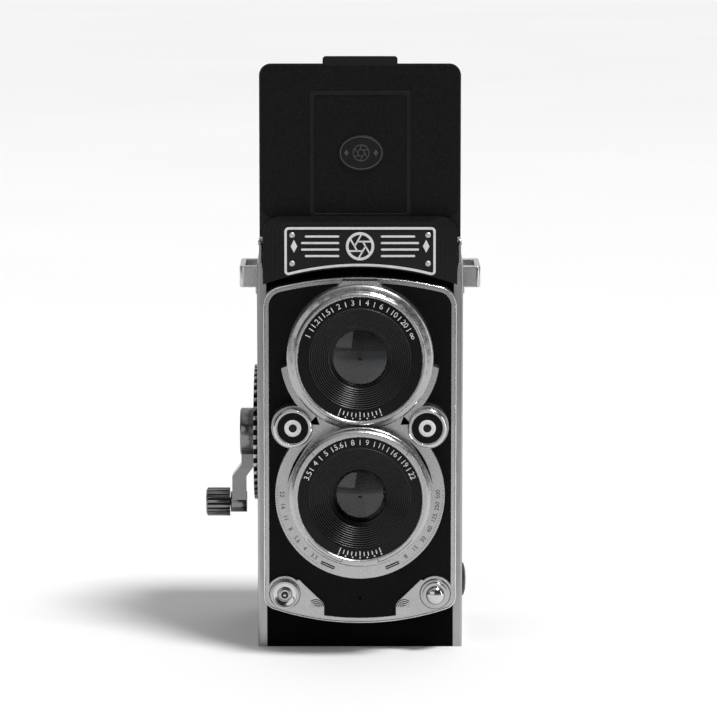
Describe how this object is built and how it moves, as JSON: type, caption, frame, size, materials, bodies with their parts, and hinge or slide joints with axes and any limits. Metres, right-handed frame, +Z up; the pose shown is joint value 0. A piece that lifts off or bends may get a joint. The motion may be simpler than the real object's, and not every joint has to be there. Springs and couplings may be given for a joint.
{
  "type": "twin lens reflex camera",
  "caption": "Upright box camera with a viewing lens above a taking lens, a folding finder hood, a film crank on the left side and a hinged back.",
  "frame": {"origin": "mouth of the tripod socket, in the middle of the flat base", "axes": "+Z up, -Y out of the lenses, +X to the right when facing the lenses"},
  "size_m": [0.1035, 0.1012, 0.22],
  "materials": {
    "black_enamel": "semi-gloss black enamel",
    "satin_aluminium": "fine satin",
    "satin_chrome": "satin chrome with polished edges",
    "bright_chrome": "polished",
    "leatherette": "fine pebble grain",
    "black_anodised": "matt black anodised",
    "coated_glass": "polished, coated",
    "ground_glass": "ground on the lower face",
    "mirror_silver": "front silvered",
    "blued_steel": "blued spring steel",
    "steel": "turned",
    "black_moulded": "moulded",
    "brass": "turned brass"
  },
  "bodies": {
    "camera_body": {"body_casting": "black_enamel", "side_plate_left": "satin_aluminium", "side_plate_right": "satin_aluminium", "side_leathers": "leatherette", "base_plate": "black_enamel", "tripod_socket": "steel", "film_gate": "black_anodised", "mirror_frame": "black_anodised", "reflex_mirror": "mirror_silver", "focusing_screen": "ground_glass", "strap_lugs": "satin_chrome", "trim_screws": "bright_chrome", "nameplate_housing": "black_enamel", "nameplate": "black_enamel", "hood_base_frame": "black_enamel", "hood_side_rails": "satin_aluminium", "hinge_pins": "steel"},
    "lower_roller": {"guide_roller_lower": "steel"},
    "upper_roller": {"guide_roller_upper": "steel"},
    "front_standard": {"lens_board": "satin_chrome", "board_leather": "leatherette", "board_skirt": "black_anodised", "shutter_cover": "satin_chrome", "viewing_lens_ring": "bright_chrome", "viewing_baffle": "black_anodised", "viewing_elements": "coated_glass", "taking_lens_ring": "bright_chrome", "taking_baffle": "black_anodised", "taking_elements": "coated_glass", "lens_barrels": "black_anodised", "shutter_and_iris_blades": "blued_steel", "readout_cap": "satin_chrome", "corner_plates": "satin_chrome", "sync_socket": "bright_chrome", "release_collar": "bright_chrome", "release_spring": "steel"},
    "aperture_wheel": {"aperture_wheel": "bright_chrome"},
    "aperture_ring": {"aperture_ring": "brass"},
    "speed_wheel": {"speed_wheel": "bright_chrome"},
    "speed_ring": {"speed_ring": "brass"},
    "release_button": {"release_button": "bright_chrome"},
    "focus_dial": {"focus_dial": "satin_chrome"},
    "crank": {"crank_arm": "satin_chrome", "crank_shaft": "steel"},
    "crank_knob": {"crank_knob": "bright_chrome"},
    "take_up": {"take_up_gear": "brass", "take_up_spool": "black_moulded"},
    "supply_spool": {"supply_spool": "black_moulded"},
    "spool_knob": {"spool_knob": "black_enamel"},
    "hood_lid": {"hood_lid": "black_enamel"},
    "sports_flap": {"sports_flap": "black_enamel"},
    "magnifier": {"magnifier_frame": "black_anodised", "magnifier_lens": "coated_glass"},
    "hood_wing_left": {"hood_wing_left": "black_enamel"},
    "hood_wing_right": {"hood_wing_right": "black_enamel"},
    "hood_rear_panel": {"hood_rear_panel": "black_enamel"},
    "back_door": {"back_door": "black_enamel", "pressure_plate": "black_anodised", "pressure_spring": "blued_steel"},
    "back_latch": {"back_latch": "satin_chrome"}
  },
  "joints": [
    {"name": "focus_travel", "type": "slide", "parent": "camera_body", "child": "front_standard", "axis": [0, -1, 0], "range_m": [0, 0.006]},
    {"name": "focus_dial_turn", "type": "hinge", "parent": "camera_body", "child": "focus_dial", "pos_m": [-0.039, 0, 0.0754], "axis": [-1, 0, 0], "range_deg": [0, 86.2]},
    {"name": "film_crank_turn", "type": "hinge", "parent": "camera_body", "child": "crank", "pos_m": [-0.043, 0, 0.0754], "axis": [-1, 0, 0], "continuous": true},
    {"name": "take_up_turn", "type": "hinge", "parent": "camera_body", "child": "take_up", "pos_m": [0, 0.014, 0.104], "axis": [-1, 0, 0], "continuous": true},
    {"name": "crank_knob_spin", "type": "hinge", "parent": "crank", "child": "crank_knob", "pos_m": [-0.0538, 0, 0.0485], "axis": [-1, 0, 0], "continuous": true},
    {"name": "supply_spool_turn", "type": "hinge", "parent": "camera_body", "child": "supply_spool", "pos_m": [0, 0.014, 0.0158], "axis": [-1, 0, 0], "continuous": true},
    {"name": "spool_knob_pull", "type": "slide", "parent": "camera_body", "child": "spool_knob", "axis": [1, 0, 0], "range_m": [0, 0.006], "stiffness_N_per_m": 60, "springref_m": -0.003},
    {"name": "lower_roller_turn", "type": "hinge", "parent": "camera_body", "child": "lower_roller", "pos_m": [0, 0.0255, 0.0288], "axis": [1, 0, 0], "continuous": true},
    {"name": "upper_roller_turn", "type": "hinge", "parent": "camera_body", "child": "upper_roller", "pos_m": [0, 0.0255, 0.0922], "axis": [1, 0, 0], "continuous": true},
    {"name": "aperture_wheel_turn", "type": "hinge", "parent": "front_standard", "child": "aperture_wheel", "pos_m": [-0.0246, -0.052, 0.0853], "axis": [0, -1, 0], "range_deg": [-90, 90]},
    {"name": "aperture_ring_turn", "type": "hinge", "parent": "front_standard", "child": "aperture_ring", "pos_m": [0, -0.049, 0.06045], "axis": [0, -1, 0], "range_deg": [-20.5, 20.5]},
    {"name": "speed_wheel_turn", "type": "hinge", "parent": "front_standard", "child": "speed_wheel", "pos_m": [0.0246, -0.052, 0.0853], "axis": [0, -1, 0], "range_deg": [-90, 90]},
    {"name": "speed_ring_turn", "type": "hinge", "parent": "front_standard", "child": "speed_ring", "pos_m": [0, -0.047, 0.06045], "axis": [0, -1, 0], "range_deg": [-20.5, 20.5]},
    {"name": "release_press", "type": "slide", "parent": "front_standard", "child": "release_button", "axis": [0, 1, 0], "range_m": [0, 0.0025], "stiffness_N_per_m": 300, "springref_m": -0.0015, "deforming": ["release_spring"]},
    {"name": "hood_lid_fold", "type": "hinge", "parent": "camera_body", "child": "hood_lid", "pos_m": [0, -0.031, 0.151], "axis": [-1, 0, 0], "range_deg": [0, 90]},
    {"name": "hood_wing_right_fold", "type": "hinge", "parent": "camera_body", "child": "hood_wing_right", "pos_m": [0.0346, 0, 0.1478], "axis": [0, -1, 0], "range_deg": [0, 90]},
    {"name": "hood_wing_left_fold", "type": "hinge", "parent": "camera_body", "child": "hood_wing_left", "pos_m": [-0.0346, 0, 0.1478], "axis": [0, 1, 0], "range_deg": [0, 90]},
    {"name": "hood_rear_panel_fold", "type": "hinge", "parent": "camera_body", "child": "hood_rear_panel", "pos_m": [0, 0.0305, 0.1493], "axis": [1, 0, 0], "range_deg": [0, 90]},
    {"name": "sports_flap_drop", "type": "hinge", "parent": "hood_lid", "child": "sports_flap", "pos_m": [0, -0.0322, 0.1626], "axis": [1, 0, 0], "range_deg": [-70, 0]},
    {"name": "magnifier_swing", "type": "hinge", "parent": "sports_flap", "child": "magnifier", "pos_m": [0, -0.0322, 0.2018], "axis": [-1, 0, 0], "range_deg": [-80, 0]},
    {"name": "back_door_swing", "type": "hinge", "parent": "camera_body", "child": "back_door", "pos_m": [0, 0.0346, 0.1415], "axis": [1, 0, 0], "range_deg": [0, 100]},
    {"name": "latch_slide", "type": "slide", "parent": "back_door", "child": "back_latch", "axis": [0, 0, 1], "range_m": [-0.003, 0]}
  ],
  "couplings": [
    {"joint": "focus_dial_turn", "follows": "focus_travel", "rad_per_m": 250},
    {"joint": "take_up_turn", "follows": "film_crank_turn", "ratio": -1.5714},
    {"joint": "aperture_ring_turn", "follows": "aperture_wheel_turn", "ratio": -0.22414},
    {"joint": "speed_ring_turn", "follows": "speed_wheel_turn", "ratio": -0.22414},
    {"joint": "hood_wing_right_fold", "follows": "hood_lid_fold", "ratio": 1},
    {"joint": "hood_wing_left_fold", "follows": "hood_lid_fold", "ratio": 1},
    {"joint": "hood_rear_panel_fold", "follows": "hood_lid_fold", "ratio": 1}
  ]
}
